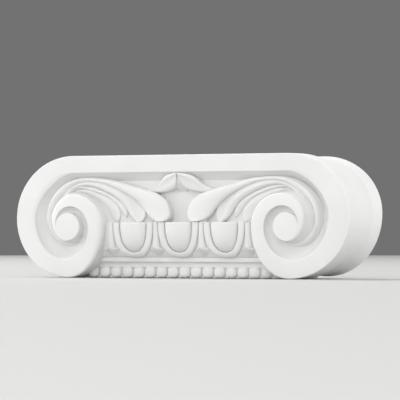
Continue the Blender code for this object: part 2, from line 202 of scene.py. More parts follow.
@dataclass(frozen=True)
class Scroll:
    """The two edges of a volute's band, from the top of the capital inwards to the eye.

    The turns are places where an edge runs level or upright, in shares of the height from the eye. Between
    two turns an edge is a quarter of an ellipse. Each other row holds values at even steps from the first
    turn to the last: rises in shares of the eye's rise, the hollow and the skirt in shares of the height,
    and the roundings and the lip in metres.
    """

    block: Block
    outer_turns: tuple[Pair, ...] = (
        (0.011, 0.584), (-0.5392, 0.079), (-0.010, -0.416), (0.323, 0.005),
        (0.050, 0.269), (-0.164, 0.070), (-0.020, -0.1172), (0.098, -0.030))
    inner_later: tuple[Pair, ...] = (
        (-0.371, 0.090), (-0.049, -0.262), (0.199, -0.012),
        (0.030, 0.167), (-0.113, 0.033), (-0.010, -0.080), (0.050, -0.010))   # all but the first turn
    wall_lean: tuple[Pair, ...] = ((-0.023, 0.0), (0.0, 0.029), (-0.028, 0.0), (0.0, 0.0))
    outer_rise: tuple[float, ...] = (0.00, 0.03, 0.50, 0.96, 0.91, 0.88, 0.995, 0.99)
    inner_rise: tuple[float, ...] = (0.00, 0.20, 0.56, 0.94, 1.03, 1.02, 0.995, 0.99)
    hollow_later: tuple[float, ...] = (0.150, 0.100, 0.078, 0.046, 0.020, 0.010, 0.008)   # all but the first
    hollow_power: tuple[float, ...] = (1.10, 1.6, 1.6, 2.6, 2.6, 2.0, 2.0, 2.0)
    hollow_floor: tuple[float, ...] = (-0.086, -0.092, -0.064, -0.010, 0.016, 0.062, 0.069, 0.069)
    outer_round: tuple[float, ...] = (
        0.0006, 0.0006, 0.0006, 0.0006, 0.0010, 0.0020, 0.0032, 0.0024,
        0.0014, 0.0020, 0.0020, 0.0014, 0.0005, 0.0004, 0.0004)
    inner_round: tuple[float, ...] = (
        0.0004, 0.0001, 0.0001, 0.0004, 0.0011, 0.0008, 0.0005) + (0.0004,) * 8
    edge_fall: tuple[float, ...] = (1.0, 1.0, 1.0, 1.2, 1.3, 2.6, 3.0, 1.0)   # depth in radii
    skirt_width: tuple[float, ...] = (0.0,) * 8 + (0.016, 0.044, 0.046, 0.034, 0.022, 0.010, 0.0)
    lip_width: tuple[float, ...] = (0.0, 0.0040, 0.0020, 0.0010) + (0.0,) * 11
    hollow_reach: float = 0.030    # the hollow's floor runs in under the eye, this far from its centre
    steps: int = 22

    @property
    def inner_turns(self) -> tuple[Pair, ...]:
        """Turns of the inner edge, which starts the band's height below the top."""
        first = (self.outer_turns[0][0], self.block.eye_from_top - self.block.band_height / self.block.height)
        return (first,) + self.inner_later

    @property
    def hollow_width(self) -> tuple[float, ...]:
        """Width of the hollow at each turn, which starts as the cove under the band."""
        return (self.block.cove_height / self.block.height,) + self.hollow_later

    @property
    def eye_x(self) -> float:
        """Distance of an eye from the middle."""
        return self.block.width / 2 + self.outer_turns[1][0] * self.block.height

    def path(self, turns: Sequence[Pair]) -> np.ndarray:
        """Follow an edge through its turns.

        Args:
            turns: the places where the edge runs level or upright, in turn.

        Returns:
            Points from the eye, in metres, along the face towards the middle and up.
        """
        points = [turns[0]]
        for i, (start, end) in enumerate(zip(turns, turns[1:])):
            for angle in arc(self.steps + 1)[1:]:
                quick, slow = math.sin(angle), math.cos(angle)
                if i % 2 == 0:
                    points.append((start[0] + (end[0] - start[0]) * quick,
                                   end[1] + (start[1] - end[1]) * slow))
                else:
                    points.append((end[0] + (start[0] - end[0]) * slow,
                                   start[1] + (end[1] - start[1]) * quick))
        return np.array(points) * self.block.height

    def spread(self, values: Sequence[float]) -> np.ndarray:
        """Read a value, given at even steps along a path, at every point of it."""
        return smooth(values, (len(self.outer_turns) - 1) * self.steps + 1)[:, 0]

    def place(self, side: Side, spot: np.ndarray, forward: float) -> tuple[float, float, float]:
        """World place of a point given from the eye and forward of the band's face, in metres."""
        return (side.value * (self.eye_x - spot[0]), self.block.front_y - forward, self.block.eye_z + spot[1])

    def outline(self, inset: float, depth: float) -> np.ndarray:
        """Outline of the block behind the face, moved inwards. Its ends lean out and up towards the wall.

        Args:
            inset: how far inside the band's outer edge it runs.
            depth: how far behind the band's face it lies.

        Returns:
            Points along and up, from the right half's inner side round the top to the left one's.
        """
        lean = max(0.0, (depth - self.block.plate) / (self.block.depth - self.block.plate))
        path = self.path([(along + out * lean, up + lift * lean)
                          for (along, up), (out, lift) in zip(self.outer_turns, self.wall_lean)])
        right = np.column_stack((self.eye_x - path[:, 0], self.block.eye_z + path[:, 1]))
        ahead = headings(right)
        right = right + np.column_stack((ahead[:, 1], -ahead[:, 0])) * inset
        return np.vstack((right, right[::-1] * (-1, 1)))


@dataclass(frozen=True)
class BandCut:
    """The band and the hollow beside it at one place along the scroll, in metres."""

    outer: np.ndarray              # outer edge, from the eye
    inner: np.ndarray
    outer_front: float             # how far the edge stands forward of the band's face
    inner_front: float
    outer_round: float             # radius of the edge
    inner_round: float
    fall: float                    # depth of the outer edge's rounding, in radii
    skirt: float                   # width of the slope outside the band
    lip: float                     # width of the soft lip between the band and the hollow
    hollow: float                  # width of the hollow
    power: float                   # how soon the hollow reaches its floor
    floor: float                   # how far that floor stands forward of the band's face


@dataclass(frozen=True)
class VoluteBand:
    """The flat band along the top, which curls at both ends into a volute, with the hollow inside it."""

    scroll: Scroll
    crown: float = 0.00010         # how far the band's face swells between its edges
    face_places: tuple[float, ...] = (0.2, 0.5, 0.8)
    round_cuts: int = 6
    hollow_cuts: int = 11
    skirt_foot: float = -0.0034    # where the slope outside the coil ends, forward of the band's face
    skirt_power: float = 1.7
    skirt_cuts: int = 4
    lip_fall: float = 0.6          # depth of the soft lip in shares of its width
    least_width: float = 0.00002   # keeps the skirt and the lip from closing up

    def section(self, cut: BandCut) -> list[tuple[np.ndarray, float]]:
        """Cross section of the band and the hollow beside it.

        Args:
            cut: what both measure there.

        Returns:
            Places from the eye, each with its way forward, in turn round the section.
        """
        block = self.scroll.block
        inward = cut.inner - cut.outer
        width = float(np.linalg.norm(inward))
        inward = inward / width
        outer_round, inner_round = (min(r, width * MOST_ROUND) for r in (cut.outer_round, cut.inner_round))
        fall = outer_round * cut.fall
        level = cut.outer_front - fall
        foot = cut.outer - inward * (cut.skirt + self.least_width)
        ring = [(foot, -block.plate)]
        for share in np.linspace(0, 1, self.skirt_cuts + 1)[:-1]:
            ring.append((foot + (cut.outer - foot) * share,
                         self.skirt_foot + (level - self.skirt_foot) * share ** self.skirt_power))
        for across, down in quarter_round(self.round_cuts):
            ring.append((cut.outer + inward * outer_round * across, cut.outer_front - fall * down))
        start, end = outer_round, width - inner_round
        for share in self.face_places:
            spot = start + (end - start) * share
            level = cut.outer_front + (cut.inner_front - cut.outer_front) * spot / width
            ring.append((cut.outer + inward * spot, level + self.crown * math.sin(math.pi * share)))
        for across, down in quarter_round(self.round_cuts)[::-1]:
            ring.append((cut.inner - inward * inner_round * across, cut.inner_front - inner_round * down))
        level = cut.inner_front - inner_round
        for angle in arc(self.round_cuts + 1)[1:]:
            ring.append((cut.inner + inward * cut.lip * math.sin(angle),
                         level - cut.lip * self.lip_fall * (1 - math.cos(angle))))
        level -= cut.lip * self.lip_fall
        for angle in arc(self.hollow_cuts + 1)[1:]:
            left = math.cos(angle)
            steep = 1 - max(0.0, 1 - left ** cut.power) ** (1 / cut.power)
            ring.append((cut.inner + inward * (cut.hollow - (cut.hollow - cut.lip) * left),
                         cut.floor + (level - cut.floor) * steep))
        heart = cut.inner * (self.scroll.hollow_reach * block.height / float(np.linalg.norm(cut.inner)))
        return ring + [(heart, cut.floor), (heart, -block.plate)]

    def half(self, side: Side) -> list[list[tuple[float, float, float]]]:
        """Cut one half into its sections.

        Args:
            side: which half.

        Returns:
            The sections, from the top tangent inwards to the eye.
        """
        scroll, block, spread = self.scroll, self.scroll.block, self.scroll.spread
        cuts = zip(scroll.path(scroll.outer_turns), scroll.path(scroll.inner_turns),
                   spread(scroll.outer_rise) * block.rise, spread(scroll.inner_rise) * block.rise,
                   spread(scroll.outer_round), spread(scroll.inner_round), spread(scroll.edge_fall),
                   np.maximum(spread(scroll.skirt_width), 0) * block.height,
                   np.maximum(spread(scroll.lip_width), self.least_width),
                   spread(scroll.hollow_width) * block.height, spread(scroll.hollow_power),
                   spread(scroll.hollow_floor) * block.height)
        return [[scroll.place(side, spot, forward) for spot, forward in self.section(BandCut(*cut))]
                for cut in cuts]

    def build(self) -> list[Solid]:
        """Make the band from the left eye over the top to the right eye."""
        return [loft("volute_band", np.array(self.half(Side.LEFT)[::-1] + self.half(Side.RIGHT)))]


@dataclass(frozen=True)
class EyeDisc:
    """The flat disc at the heart of a volute, which the band's end runs into."""

    scroll: Scroll
    edge_round: float = 0.0013
    round_cuts: int = 5
    swell: float = 0.00025         # how far its face swells in the middle
    flat_rings: tuple[float, ...] = (0.75, 0.5, 0.25)
    sides: int = 72

    def build(self) -> list[Solid]:
        """Make both discs.

        Returns:
            The closed discs, the left one first.
        """
        block = self.scroll.block
        radius = block.eye_radius
        profile = [(radius, -block.field_depth - 2 * block.let_in)]
        profile += [(radius - self.edge_round * across, block.rise - self.edge_round * down)
                    for across, down in quarter_round(self.round_cuts)]
        flat = radius - self.edge_round
        profile += [(flat * share, block.rise + self.swell * (1 - share * share))
                    for share in self.flat_rings]
        made = []
        for side in Side:
            turns = np.linspace(0, 2 * math.pi, self.sides, endpoint=False)
            rings = [[self.scroll.place(side, np.array((r * math.cos(a), r * math.sin(a))), forward)
                      for a in turns] for r, forward in profile]
            made.append(loft("eye_disc", np.array(rings)))
        return made


@dataclass(frozen=True)
class Lobe:
    """One lobe of a leaf, between the edge nearer the band and the edge nearer the coil.

    The edges and heights are in thousandths. Both edges are points along the lobe, from the eye. Each row of
    heights has the way along the lobe, and then how far the surface stands forward at even places across,
    from the band edge to the coil edge.
    """

    name: str
    band_edge: tuple[tuple[int, int], ...]
    coil_edge: tuple[tuple[int, int], ...]
    heights: tuple[tuple[int, ...], ...]
    edge_round: float = 0.0006
    cuts_along: int = 7            # cuts from one point of an edge to the next
    undercut: float = 0.0          # how far its band side draws in behind, in shares of its width


LEAF = (
    # The long strand nearest the band, which ends in a broad tongue
    Lobe("leaf_main",
         ((65, -142), (-32, -166), (-120, -157), (-212, -92), (-265, 8), (-273, 96), (-246, 201),
          (-173, 296), (-64, 368), (70, 402), (230, 402), (400, 382), (560, 343), (700, 305), (820, 266),
          (895, 215), (934, 145), (936, 80), (902, 43)),
         ((55, -118), (-15, -120), (-80, -98), (-150, -45), (-190, 20), (-193, 100), (-160, 185),
          (-100, 252), (-20, 315), (85, 360), (215, 367), (350, 341), (474, 291), (572, 243), (645, 193),
          (690, 145), (722, 100), (770, 60), (820, 43)),
         ((0, -75, -48, -38, -40, -52),
          (60, -80, -42, -28, -36, -52),
          (170, -82, -34, -16, -28, -50),
          (280, -72, -22, -6, -20, -44),
          (390, -56, -6, 2, -10, -30),
          (470, -38, 8, 12, 4, -10),
          (560, -26, 10, 16, 12, -2),
          (670, -16, 8, 14, 12, 2),
          (780, -4, 8, 12, 9, -4),
          (890, 4, 12, 14, 11, -2),
          (950, 10, 18, 20, 17, 4),
          (1000, 18, 26, 28, 25, 14)),
         edge_round=0.0015, cuts_along=5, undercut=0.07),
    # The strand inside it, with a hollowed tongue
    Lobe("leaf_second",
         ((-202, 110), (-176, 195), (-125, 268), (-34, 345), (85, 380), (220, 388), (362, 366), (500, 328),
          (604, 270), (660, 207), (688, 145), (686, 82), (662, 40)),
         ((-142, 100), (-112, 160), (-68, 218), (-6, 292), (85, 330), (200, 326), (310, 290), (400, 247),
          (465, 203), (505, 160), (535, 115), (570, 73), (612, 40)),
         ((0, -66, -58, -54, -56, -66),
          (80, -52, -40, -34, -38, -52),
          (170, -46, -32, -24, -26, -42),
          (250, -38, -24, -16, -18, -34),
          (333, -28, -12, -4, -8, -26),
          (417, -24, -6, 3, 2, -20),
          (542, -30, -22, -6, 3, -18),
          (667, -42, -38, -20, 0, -20),
          (792, -44, -42, -28, -4, -21),
          (900, -32, -30, -20, -4, -18),
          (1000, -20, -14, -10, -6, -16)),
         edge_round=0.0010),
    # Two slighter strands nearer the coil
    Lobe("leaf_third",
         ((-60, 292), (40, 334), (125, 336), (200, 329), (310, 292), (400, 249), (465, 206), (505, 163),
          (522, 115), (512, 80)),
         ((-50, 278), (40, 310), (120, 309), (190, 292), (265, 268), (335, 235), (395, 190), (440, 140),
          (472, 100), (495, 80)),
         ((0, -64, -60, -58, -60, -64),
          (120, -40, -32, -30, -34, -44),
          (250, -34, -22, -18, -20, -34),
          (500, -36, -24, -20, -22, -40),
          (750, -38, -26, -24, -30, -48),
          (1000, -34, -26, -28, -36, -48))),
    Lobe("leaf_fourth",
         ((-20, 280), (70, 313), (135, 312), (200, 297), (268, 272), (338, 240), (398, 194), (440, 140),
          (448, 85), (430, 45)),
         ((-20, 268), (60, 282), (110, 270), (170, 247), (220, 218), (262, 182), (298, 145), (325, 108),
          (350, 75), (385, 42)),
         ((0, -66, -60, -58, -60, -66),
          (150, -46, -38, -37, -42, -52),
          (350, -44, -34, -34, -42, -54),
          (700, -42, -32, -36, -46, -60),
          (1000, -36, -30, -36, -44, -58))),
    # The low root that the strands spring from
    Lobe("leaf_root",
         ((-200, 150), (-150, 230), (-70, 300), (60, 345), (215, 350), (350, 330), (470, 290), (570, 235),
          (680, 170), (780, 100), (850, 30)),
         ((-130, 120), (-90, 180), (-30, 225), (50, 240), (120, 225), (185, 190), (235, 150), (265, 110),
          (285, 80), (295, 50), (300, 20)),
         ((0, -75, -60, -56, -56, -56),
          (150, -68, -50, -46, -46, -46),
          (350, -66, -54, -52, -52, -54),
          (700, -66, -56, -50, -54, -60),
          (1000, -66, -57, -50, -53, -60))),
    # What lies behind the point of the broad tongue
    Lobe("leaf_foot",
         ((900, 110), (904, 70), (900, 30)),
         ((775, 110), (775, 70), (775, 30)),
         ((0, -30, -14, -12, -14, -34),
          (1000, -30, -14, -12, -14, -34))),
    # What lies between the two small leaves in the middle
    Lobe("bract_bed",
         ((900, 420), (960, 428), (1060, 430)),
         ((900, 310), (960, 290), (1060, 275)),
         ((0, -64, -56, -60, -76, -92),
          (500, -16, -10, -24, -58, -92),
          (1000, 4, 3, -14, -54, -92))),
    # One of those two small leaves
    Lobe("bract",
         ((705, 305), (755, 321), (800, 338), (838, 366), (868, 398), (910, 419), (966, 431), (1014, 437)),
         ((735, 282), (785, 276), (840, 277), (890, 284), (935, 297), (972, 315), (995, 348), (1012, 400)),
         ((0, -60, -50, -48, -48, -50, -54, -62),
          (280, -44, -32, -34, -35, -36, -40, -52),
          (450, -26, -12, -16, -19, -20, -24, -40),
          (600, -10, 3, -3, -8, -10, -14, -28),
          (750, 2, 16, 9, 2, 0, -2, -14),
          (900, 14, 28, 21, 14, 12, 10, 0),
          (1000, 26, 38, 34, 28, 26, 24, 18)),
         undercut=0.10),
)


@dataclass(frozen=True)
class Acanthus:
    """The half-leaves that spring from the coils, and the pair of small leaves in the middle."""

    scroll: Scroll
    lobes: tuple[Lobe, ...] = LEAF
    cuts_across: int = 13
    edge_places: tuple[float, ...] = (0.0, 0.13, 0.45)   # cuts on a rounded edge, in shares of its radius
    row_steps: int = 20            # readings from one row of heights to the next
    readings_across: int = 81

    def levels(self, shape: Lobe, count: int) -> np.ndarray:
        """Read a lobe's heights at even steps along it.

        Args:
            shape: the lobe.
            count: how many places to read.

        Returns:
            One row of heights across for each place, in metres.
        """
        rows = np.array(shape.heights) / 1000
        place = np.interp(np.linspace(0, 1, count), rows[:, 0], np.arange(len(rows)))
        fine = smooth(rows[:, 1:], (len(rows) - 1) * self.row_steps + 1) * self.scroll.block.height
        place, readings = place * self.row_steps, np.arange(len(fine))
        return np.array([np.interp(place, readings, column) for column in fine.T]).T

    def lobe(self, shape: Lobe, side: Side) -> Solid:
        """Loft one lobe through cross sections along it.

        Args:
            shape: the lobe.
            side: which half it lies in.

        Returns:
            The closed lobe, let into the ground behind it.
        """
        block, place = self.scroll.block, self.scroll.place
        count = (len(shape.band_edge) - 1) * shape.cuts_along + 1
        first, second = (smooth(np.array(edge) / 1000, count) * block.height
                         for edge in (shape.band_edge, shape.coil_edge))
        back = -(block.field_depth + block.let_in)
        readings = np.linspace(0, 1, self.readings_across)
        sections = []
        for a, b, level in zip(first, second, self.levels(shape, count)):
            width = float(np.linalg.norm(b - a))
            rounding = min(shape.edge_round, width * MOST_ROUND)
            near = rounding / width
            edge = near * np.array(self.edge_places)
            shares = np.concatenate((edge, np.linspace(near, 1 - near, self.cuts_across), 1 - edge[::-1]))
            height = np.interp(shares, readings, smooth(level, self.readings_across)[:, 0])
            gap = np.clip(np.minimum(shares, 1 - shares) / near, 0, 1)
            height = height - rounding * (1 - np.sqrt(1 - (1 - gap) ** 2))
            ring = [place(side, a + (b - a) * shape.undercut, back)]
            ring += [place(side, a + (b - a) * s, h) for s, h in zip(shares, height)]
            sections.append(ring + [place(side, b, back)])
        return loft(shape.name, np.array(sections))

    def build(self) -> list[Solid]:
        """Make every lobe of both halves."""
        return [self.lobe(shape, side) for side in Side for shape in self.lobes]


@dataclass(frozen=True)
class Ovolo:
    """The rounded moulding under the leaves, which carries the eggs and the darts."""

    scroll: Scroll
    top: float = 0.0422            # above the underside
    height: float = 0.0268
    proud: float = -0.0012         # its top edge, forward of the band's face
    recess: float = 0.0110         # how far it falls back on the way down
    hang: float = 3.0              # power of its profile
    tuck: float = 0.96             # how much of that profile it uses
    back: float = 0.0148
    edge_round: float = 0.0006
    edge_cuts: int = 4
    face_cuts: int = 29
    run_cuts: int = 36

    @property
    def half_length(self) -> float:
        """Where it ends inside the coils, from the middle."""
        middle = (self.scroll.outer_turns[3][0] + self.scroll.inner_turns[3][0]) / 2
        return self.scroll.eye_x - middle * self.scroll.block.height

    def front(self, drop: float) -> float:
        """How far forward it stands, a given way below its top."""
        share = min(max(drop / self.height, 0.0), 1.0) * self.tuck
        return self.proud - self.recess * (1 - (1 - share ** self.hang) ** (1 / self.hang))

    def world(self, along: float, forward: float, drop: float) -> tuple[float, float, float]:
        """World place of a point given along it, forward of the band's face and below its top."""
        return (along, self.scroll.block.front_y - forward, self.top - drop)

    def run(self) -> Solid:
        """Run it along the face, rounded along its top edge.

        Returns:
            The closed moulding.
        """
        profile = [(-self.back, self.height), (-self.back, 0.0), (-self.scroll.block.field_depth, 0.0)]
        r = self.edge_round
        profile += [(self.front(r) - r * back, r * down)
                    for back, down in quarter_round(self.edge_cuts)[::-1]]
        for angle in arc(self.face_cuts + 1)[2:]:
            drop = self.height * math.sin(angle)
            profile.append((self.front(drop), drop))
        spots = np.linspace(-self.half_length, self.half_length, self.run_cuts + 1)
        return loft("ovolo", np.array([[self.world(x, f, d) for f, d in profile] for x in spots]))


@dataclass(frozen=True)
class Egg:
    """An egg with a flat, softly edged top."""

    ovolo: Ovolo
    width: float = 0.0233
    height: float = 0.0226
    crown: float = 0.0067          # how far its front stands forward of the ovolo
    let_in: float = 0.0015
    fullness: float = 2.45         # power of its rounded outline
    front_power: float = 2.1       # power of its rounded front, from the top down
    soft: float = 0.0009           # rounding of its flat top's edge
    ease: float = 2.4              # how much more that edge draws in at the front than at the sides
    soft_cuts: int = 4
    cuts: int = 24
    sides: int = 33

    def carve(self, middle: float) -> Solid:
        """Make one egg.

        Args:
            middle: its place along the face.

        Returns:
            The closed egg, let into the ovolo.
        """
        world = self.ovolo.world
        edge = quarter_round(self.soft_cuts)
        levels = [self.soft * down / self.height for down, _ in edge]
        levels += list(1 - (1 - levels[-1]) * (1 - np.sin(arc(self.cuts)[1:-1])))
        pulls = [1 - (self.soft / (self.width / 2)) * across for _, across in edge]
        pulls += [1.0] * (len(levels) - len(pulls))
        rows = []
        for level, pull in zip(levels, pulls):
            outline = (1 - level ** self.fullness) ** (1 / self.fullness)
            swell = (1 - level ** self.front_power) ** (1 / self.front_power)
            half = self.width / 2 * outline * pull
            crown = self.crown * swell * (1 - (1 - pull) * self.ease)
            drop = level * self.height
            base = self.ovolo.front(drop)
            row = [world(middle + half * math.sin(turn), base + crown * math.cos(turn), drop)
                   for turn in np.linspace(-math.pi / 2, math.pi / 2, self.sides)]
            rows.append(row + [world(middle + off, base - self.let_in, drop) for off in (half, -half)])
        return loft("egg", np.array(rows))


@dataclass(frozen=True)
class Rim:
    """The raised rim that runs down one side of an egg, under it and up the other."""

    egg: Egg
    gap: float = 0.0004            # between it and the egg
    width: float = 0.0056
    foot: float = 0.0040           # its width under the egg
    thinning: float = 0.6          # how late it thins to that, as a power
    proud: float = 0.0027
    square: float = 0.6            # power of its section, 1 for a round one
    sides: int = 13
    cuts: int = 73

    def carve(self, middle: float) -> Solid:
        """Make one rim.

        Args:
            middle: place of its egg along the face.

        Returns:
            The closed rim, let into the ovolo.
        """
        egg, ovolo = self.egg, self.egg.ovolo
        half = egg.width / 2 + self.gap + self.width / 2
        low = egg.height + self.gap + self.foot / 2
        turns = np.linspace(0, math.pi, self.cuts)
        power = 2 / egg.fullness
        line = np.column_stack((half * np.sign(np.cos(turns)) * np.abs(np.cos(turns)) ** power,
                                low * np.sin(turns) ** power))
        ahead = headings(line)
        ahead[0], ahead[-1] = (0, 1), (0, -1)
        sections = []
        for spot, way, turn in zip(line, ahead, turns):
            side = np.array((way[1], -way[0]))
            wide = self.foot + (self.width - self.foot) * abs(math.cos(turn)) ** self.thinning
            section = [(wide / 2 * squared(math.cos(a), self.square), self.proud * math.sin(a) ** self.square)
                       for a in np.linspace(0, math.pi, self.sides)]
            ring = []
            for off, rise in section + [(-wide / 2, -egg.let_in), (wide / 2, -egg.let_in)]:
                place = spot + side * off
                ring.append(ovolo.world(middle + place[0], ovolo.front(place[1]) + rise, max(place[1], 0.0)))
            sections.append(ring)
        return loft("egg_rim", np.array(sections))


@dataclass(frozen=True)
class Dart:
    """A dart: a round-edged shaft and a ridged head with its point down."""

    ovolo: Ovolo
    width: float = 0.0042          # of its shaft at the top
    foot: float = 0.0066           # of its shaft at the head
    proud: float = 0.0026
    square: float = 0.5            # power of its shaft's section
    edge: float = 0.0010           # the shaft's sides run back this far
    let_in: float = 0.0025
    lap: float = 0.0012            # how far the shaft runs on under the head
    sides: int = 13
    cuts: int = 18
    head_width: float = 0.0142
    head_height: float = 0.0074
    head_proud: float = 0.0066
    head_foot: float = 0.0003      # its apex above the foot of the ovolo
    head_let_in: float = 0.0040
    head_hold: float = 0.985       # under the head the ground stops falling back at this share of the ovolo
    head_widths: tuple[Pair, ...] = ((0.0, 0.34), (0.10, 0.80), (0.20, 0.98), (0.32, 0.90), (0.5, 0.70),
                                     (0.7, 0.44), (0.88, 0.20), (1.0, 0.04))   # way down it, and its width
    head_places: tuple[float, ...] = (-1.0, -0.75, -0.5, -0.25, -0.08, 0.08, 0.25, 0.5, 0.75, 1.0)

    @property
    def end(self) -> float:
        """Where the shaft ends and the head begins, below the ovolo's top."""
        return self.ovolo.height - self.head_height - self.head_foot

    def shaft(self, middle: float) -> Solid:
        """Make one shaft, which widens towards the head.

        Args:
            middle: its place along the face.

        Returns:
            The closed shaft, let into the ovolo.
        """
        world = self.ovolo.world
        sections = []
        for drop in np.linspace(0, self.end + self.lap, self.cuts):
            base = self.ovolo.front(drop)
            half = (self.width + (self.foot - self.width) * (drop / self.end) ** 2) / 2
            ring = [world(middle + half * math.cos(a), base - self.edge + (self.proud + self.edge)
                          * math.sin(a) ** self.square, drop) for a in np.linspace(0, math.pi, self.sides)]
            sections.append(ring + [world(middle + off, base - self.let_in, drop) for off in (-half, half)])
        return loft("dart_shaft", np.array(sections))

    def head(self, middle: float) -> Solid:
        """Make one head, ridged down its middle.

        Args:
            middle: its place along the face.

        Returns:
            The closed head, let into the ovolo.
        """
        ovolo = self.ovolo
        sections = []
        for share, wide in self.head_widths:
            drop = self.end + self.head_height * share
            base = ovolo.front(min(drop, ovolo.height * self.head_hold))
            reach, tall = self.head_width / 2 * wide, self.head_proud * (1 - share)
            ring = [ovolo.world(middle + reach * place, base + tall * (1 - abs(place)), drop)
                    for place in self.head_places]
            back = base - self.head_let_in
            sections.append(ring + [ovolo.world(middle + off, back, drop) for off in (reach, -reach)])
        return loft("dart_head", np.array(sections))


@dataclass(frozen=True)
class EggAndDart:
    """The row of eggs in their rims, with darts between them, on its ovolo."""

    ovolo: Ovolo
    pitch: float = 0.0397

    def build(self) -> list[Solid]:
        """Make the ovolo and what is carved on it, as far as the coils leave room.

        Returns:
            The ovolo, and then the eggs, rims and darts from left to right.
        """
        egg, dart, end = Egg(self.ovolo), Dart(self.ovolo), self.ovolo.half_length
        rim = Rim(egg)
        made = [self.ovolo.run()]
        reach = int(end / self.pitch) + 1
        for i in range(-reach, reach + 1):
            here, between = i * self.pitch, (i + 0.5) * self.pitch
            if abs(here) + egg.width / 2 < end:
                made += [egg.carve(here), rim.carve(here)]
            if abs(between) + dart.width < end:
                made += [dart.shaft(between), dart.head(between)]
        return made


@dataclass(frozen=True)
class ShaftHead:
    """The head of the pilaster's shaft, which the lower mouldings run across.

    Each run ends at a place given from an eye towards the middle, in shares of the height.
    """

    ovolo: Ovolo
    setback: float = 0.0128        # its face behind the band's
    end: float = 0.06
    run_cuts: int = 24

    def reach(self, end: float) -> float:
        """How far from the middle a run goes that ends at a given place."""
        scroll = self.ovolo.scroll
        return scroll.eye_x - end * scroll.block.height

    def run(self, name: str, profile: Sequence[Pair], end: float) -> Solid:
        """Run a moulding along the face.

        Args:
            name: name of the moulding.
            profile: pairs of the way forward and the height, in turn round its section.
            end: where it ends.

        Returns:
            The closed moulding.
        """
        y = self.ovolo.scroll.block.front_y
        spots = np.linspace(-self.reach(end), self.reach(end), self.run_cuts + 1)
        return loft(name, np.array([[(x, y - forward, up) for forward, up in profile] for x in spots]))

    def slab(self, name: str, across: Pair, upright: Pair, end: float) -> Solid:
        """Run a plain moulding with a rectangular section.

        Args:
            name: name of the moulding.
            across: how far forward its two upright faces stand.
            upright: heights of its underside and its top.
            end: where it ends.

        Returns:
            The closed moulding.
        """
        (first, second), (low, high) = across, upright
        return self.run(name, [(first, low), (second, low), (second, high), (first, high)], end)

    def head(self) -> Solid:
        """Make the shaft's head, from its face to the wall."""
        across = (-self.setback, -self.ovolo.scroll.block.depth)
        return self.slab("shaft_head", across, (0.0, self.ovolo.top), self.end)


@dataclass(frozen=True)
class BeadRow:
    """The row of beads across the shaft's head, and the bed that stands between them."""

    shaft: ShaftHead
    diameter: float = 0.0088
    length: float = 0.0100
    pitch: float = 0.01008
    proud: float = 0.0011          # their centres, forward of the shaft
    fullness: float = 0.80         # power of a bead's outline, 1 for a plain ellipse
    square: float = 0.62           # power of its lower half, seen from the end
    crown: float = 0.80            # the same of its upper half
    tip: float = 0.02              # angle left open at its two ends
    rings: int = 17
    sides: int = 32
    lift: float = 0.00002          # keeps the beads clear of the plane of the underside
    sink: float = 0.0008           # how far they run up into the hollow above them
    bed_proud: float = 0.0020
    bed_let_in: float = 0.0010
    bed_lift: float = 0.0003
    end: float = 0.10

    @property
    def top(self) -> float:
        """Height of the hollow's foot, which the beads run up into."""
        return self.diameter - self.sink

    def bead(self, middle: float) -> Solid:
        """Make one full, barrel-like bead, with its middle just forward of the shaft's face.

        Args:
            middle: its place along the face.

        Returns:
            The closed bead.
        """
        radius, half = self.diameter / 2, self.length / 2
        y = self.shaft.ovolo.scroll.block.front_y + self.shaft.setback - self.proud
        rings = []
        for down in np.linspace(self.tip, math.pi - self.tip, self.rings):
            wide = radius * math.sin(down) ** self.fullness
            along = middle + half * squared(math.cos(down), self.fullness)
            ring = []
            for turn in np.linspace(0, 2 * math.pi, self.sides, endpoint=False):
                back, up = math.cos(turn), math.sin(turn)
                power = self.square if up < 0 else self.crown
                ring.append((along, y + wide * squared(back, power),
                             radius + self.lift + wide * squared(up, power)))
            rings.append(ring)
        return loft("bead", np.array(rings))

    def build(self) -> list[Solid]:
        """Make the bed, the shaft's head behind it and the beads.

        Returns:
            The bed, the shaft's head, and then the beads from left to right.
        """
        shaft, face = self.shaft, -self.shaft.setback
        bed = shaft.slab("bead_bed", (face - self.bed_let_in, face + self.bed_proud),
                         (self.bed_lift, self.top), self.end)
        each_side = int(shaft.reach(self.end) / self.pitch)
        return [bed, shaft.head()] + [self.bead(i * self.pitch) for i in range(-each_side, each_side + 1)]


@dataclass(frozen=True)
class Fillet:
    """The fillet under the eggs, with the hollow that leads down to the beads."""

    beads: BeadRow
    height: float = 0.0034
    step: float = -0.0001          # how far its face stands back from the ovolo's foot
    edge_round: float = 0.0005
    lap: float = 0.0005            # how far it runs up into the ovolo
    let_in: float = 0.0020         # how deep it is let into the shaft
    hollow_step: float = 0.0002    # how far the hollow starts behind the fillet's face
    hollow_cuts: int = 12
    ledge: float = 0.0032          # the hollow's foot, forward of the shaft
    end: float = 0.17

    def build(self) -> list[Solid]:
        """Make the fillet and its hollow.

        Returns:
            The closed moulding, alone in a list.
        """
        shaft, low, r = self.beads.shaft, self.beads.top, self.edge_round
        ovolo = shaft.ovolo
        bottom = ovolo.top - ovolo.height
        foot = bottom - self.height
        front = ovolo.front(ovolo.height) - self.step
        deep, back = self.ledge - shaft.setback, -shaft.setback - self.let_in
        profile = [(back, bottom + self.lap), (front - r, bottom + self.lap), (front, bottom - r),
                   (front, foot + r), (front - r, foot)]
        for angle in arc(self.hollow_cuts + 1)[1:]:
            profile.append((deep + (front - self.hollow_step - deep) * (1 - math.sin(angle)),
                            low + (foot - low) * math.cos(angle)))
        return [shaft.run("fillet_and_hollow", profile + [(back, low)], self.end)]


